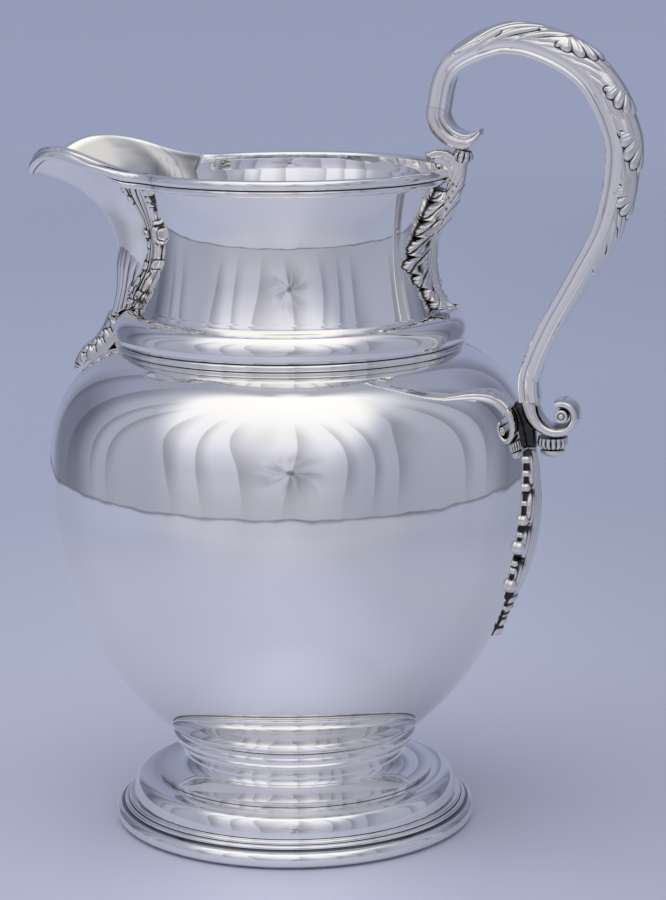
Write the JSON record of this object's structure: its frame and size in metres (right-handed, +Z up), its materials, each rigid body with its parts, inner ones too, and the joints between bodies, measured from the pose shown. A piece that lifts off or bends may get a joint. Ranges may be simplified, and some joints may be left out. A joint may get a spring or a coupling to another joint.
{
  "type": "ewer",
  "caption": "Polished silver water ewer with an ovoid body on a spreading foot, a waisted neck with a broad pouring lip and a high scroll handle with cast leaf mounts.",
  "frame": {"origin": "centre of the foot, on the plane that the ewer stands on", "axes": "+Z up along the axis of the body, -X towards the spout, +X towards the handle"},
  "size_m": [0.2111, 0.165, 0.2756],
  "materials": {
    "polished_silver": "hand-polished sheet silver with fine wiping marks",
    "cast_silver": "cast and chased silver with dark oxide in the hollows"
  },
  "bodies": {
    "root": {"body": "polished_silver", "neck": "polished_silver", "neck_collar": "polished_silver", "rim_wire": "polished_silver", "spout": "polished_silver", "spout_lip_wire": "polished_silver", "spout_leaf_near": "cast_silver", "spout_leaf_far": "cast_silver", "spout_apron": "cast_silver", "spout_drop": "cast_silver", "handle_half_near": "polished_silver", "handle_half_far": "polished_silver", "handle_leaf": "cast_silver", "upper_scroll": "cast_silver", "handle_knop": "cast_silver", "upper_bracket": "cast_silver", "upper_leaf": "cast_silver", "lower_scroll": "cast_silver", "scroll_eye": "cast_silver", "lower_stub": "cast_silver", "lower_cup": "cast_silver", "cup_button": "cast_silver", "drop_leaf": "cast_silver", "drop_berries": "cast_silver", "foot_ring": "polished_silver", "foot_spool": "polished_silver", "foot_dome": "polished_silver", "foot_rim": "polished_silver"}
  },
  "joints": []
}
